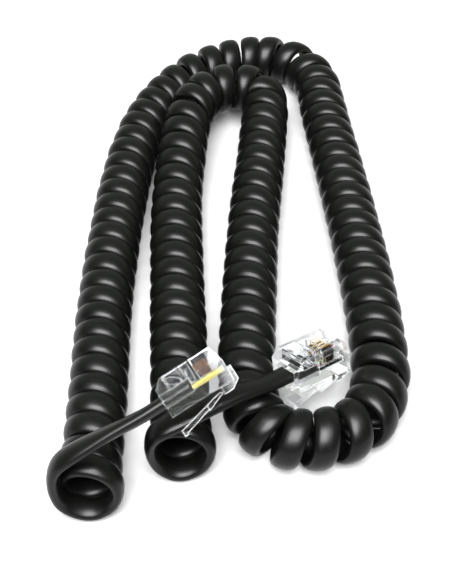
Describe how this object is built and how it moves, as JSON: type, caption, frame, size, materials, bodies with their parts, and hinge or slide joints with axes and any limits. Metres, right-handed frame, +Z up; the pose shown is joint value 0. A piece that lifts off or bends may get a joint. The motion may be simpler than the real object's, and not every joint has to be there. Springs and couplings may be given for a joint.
{
  "type": "coiled handset cord",
  "caption": "Coiled telephone handset cord laid back and forth in arms, with a clear modular plug and a sprung latch tab on each end.",
  "frame": {"origin": "middle of the footprint on the surface the cord lies on", "axes": "+Z up; +Y along the arms, away from the two plugs; +X to the right when seen from the plugs' side"},
  "size_m": [0.0637, 0.1353, 0.0303],
  "materials": {
    "cord_jacket": "black PVC, satin with fine drag lines along the cord",
    "clear_polycarbonate": "clear moulded polycarbonate with faint haze and polished edges",
    "gold_contact": "gold-plated phosphor bronze blade",
    "wire_black": "glossy wire insulation",
    "wire_red": "glossy wire insulation",
    "wire_green": "glossy wire insulation",
    "wire_yellow": "glossy wire insulation"
  },
  "bodies": {
    "cord": {"coil_jacket": "cord_jacket", "lead_a_jacket": "cord_jacket", "lead_b_jacket": "cord_jacket", "plug_a_body": "clear_polycarbonate", "plug_a_jacket_clamp": "clear_polycarbonate", "plug_a_wire_clamp": "clear_polycarbonate", "plug_a_contact_1": "gold_contact", "plug_a_wire_yellow": "wire_yellow", "plug_a_contact_2": "gold_contact", "plug_a_wire_green": "wire_green", "plug_a_contact_3": "gold_contact", "plug_a_wire_red": "wire_red", "plug_a_contact_4": "gold_contact", "plug_a_wire_black": "wire_black", "plug_b_body": "clear_polycarbonate", "plug_b_jacket_clamp": "clear_polycarbonate", "plug_b_wire_clamp": "clear_polycarbonate", "plug_b_contact_1": "gold_contact", "plug_b_wire_black": "wire_black", "plug_b_contact_2": "gold_contact", "plug_b_wire_red": "wire_red", "plug_b_contact_3": "gold_contact", "plug_b_wire_green": "wire_green", "plug_b_contact_4": "gold_contact", "plug_b_wire_yellow": "wire_yellow"},
    "latch_a": {"plug_a_latch": "clear_polycarbonate"},
    "latch_b": {"plug_b_latch": "clear_polycarbonate"}
  },
  "joints": [
    {"name": "latch_a_hinge", "type": "hinge", "parent": "cord", "child": "latch_a", "pos_m": [-0.00311, -0.05897, 0.02264], "axis": [0.0133, 0.6497, -0.76], "range_deg": [0, 14], "stiffness_Nm_per_rad": 0.08},
    {"name": "latch_b_hinge", "type": "hinge", "parent": "cord", "child": "latch_b", "pos_m": [0.01562, -0.04265, 0.00798], "axis": [-0.5634, 0.7527, -0.3407], "range_deg": [0, 14], "stiffness_Nm_per_rad": 0.08}
  ]
}
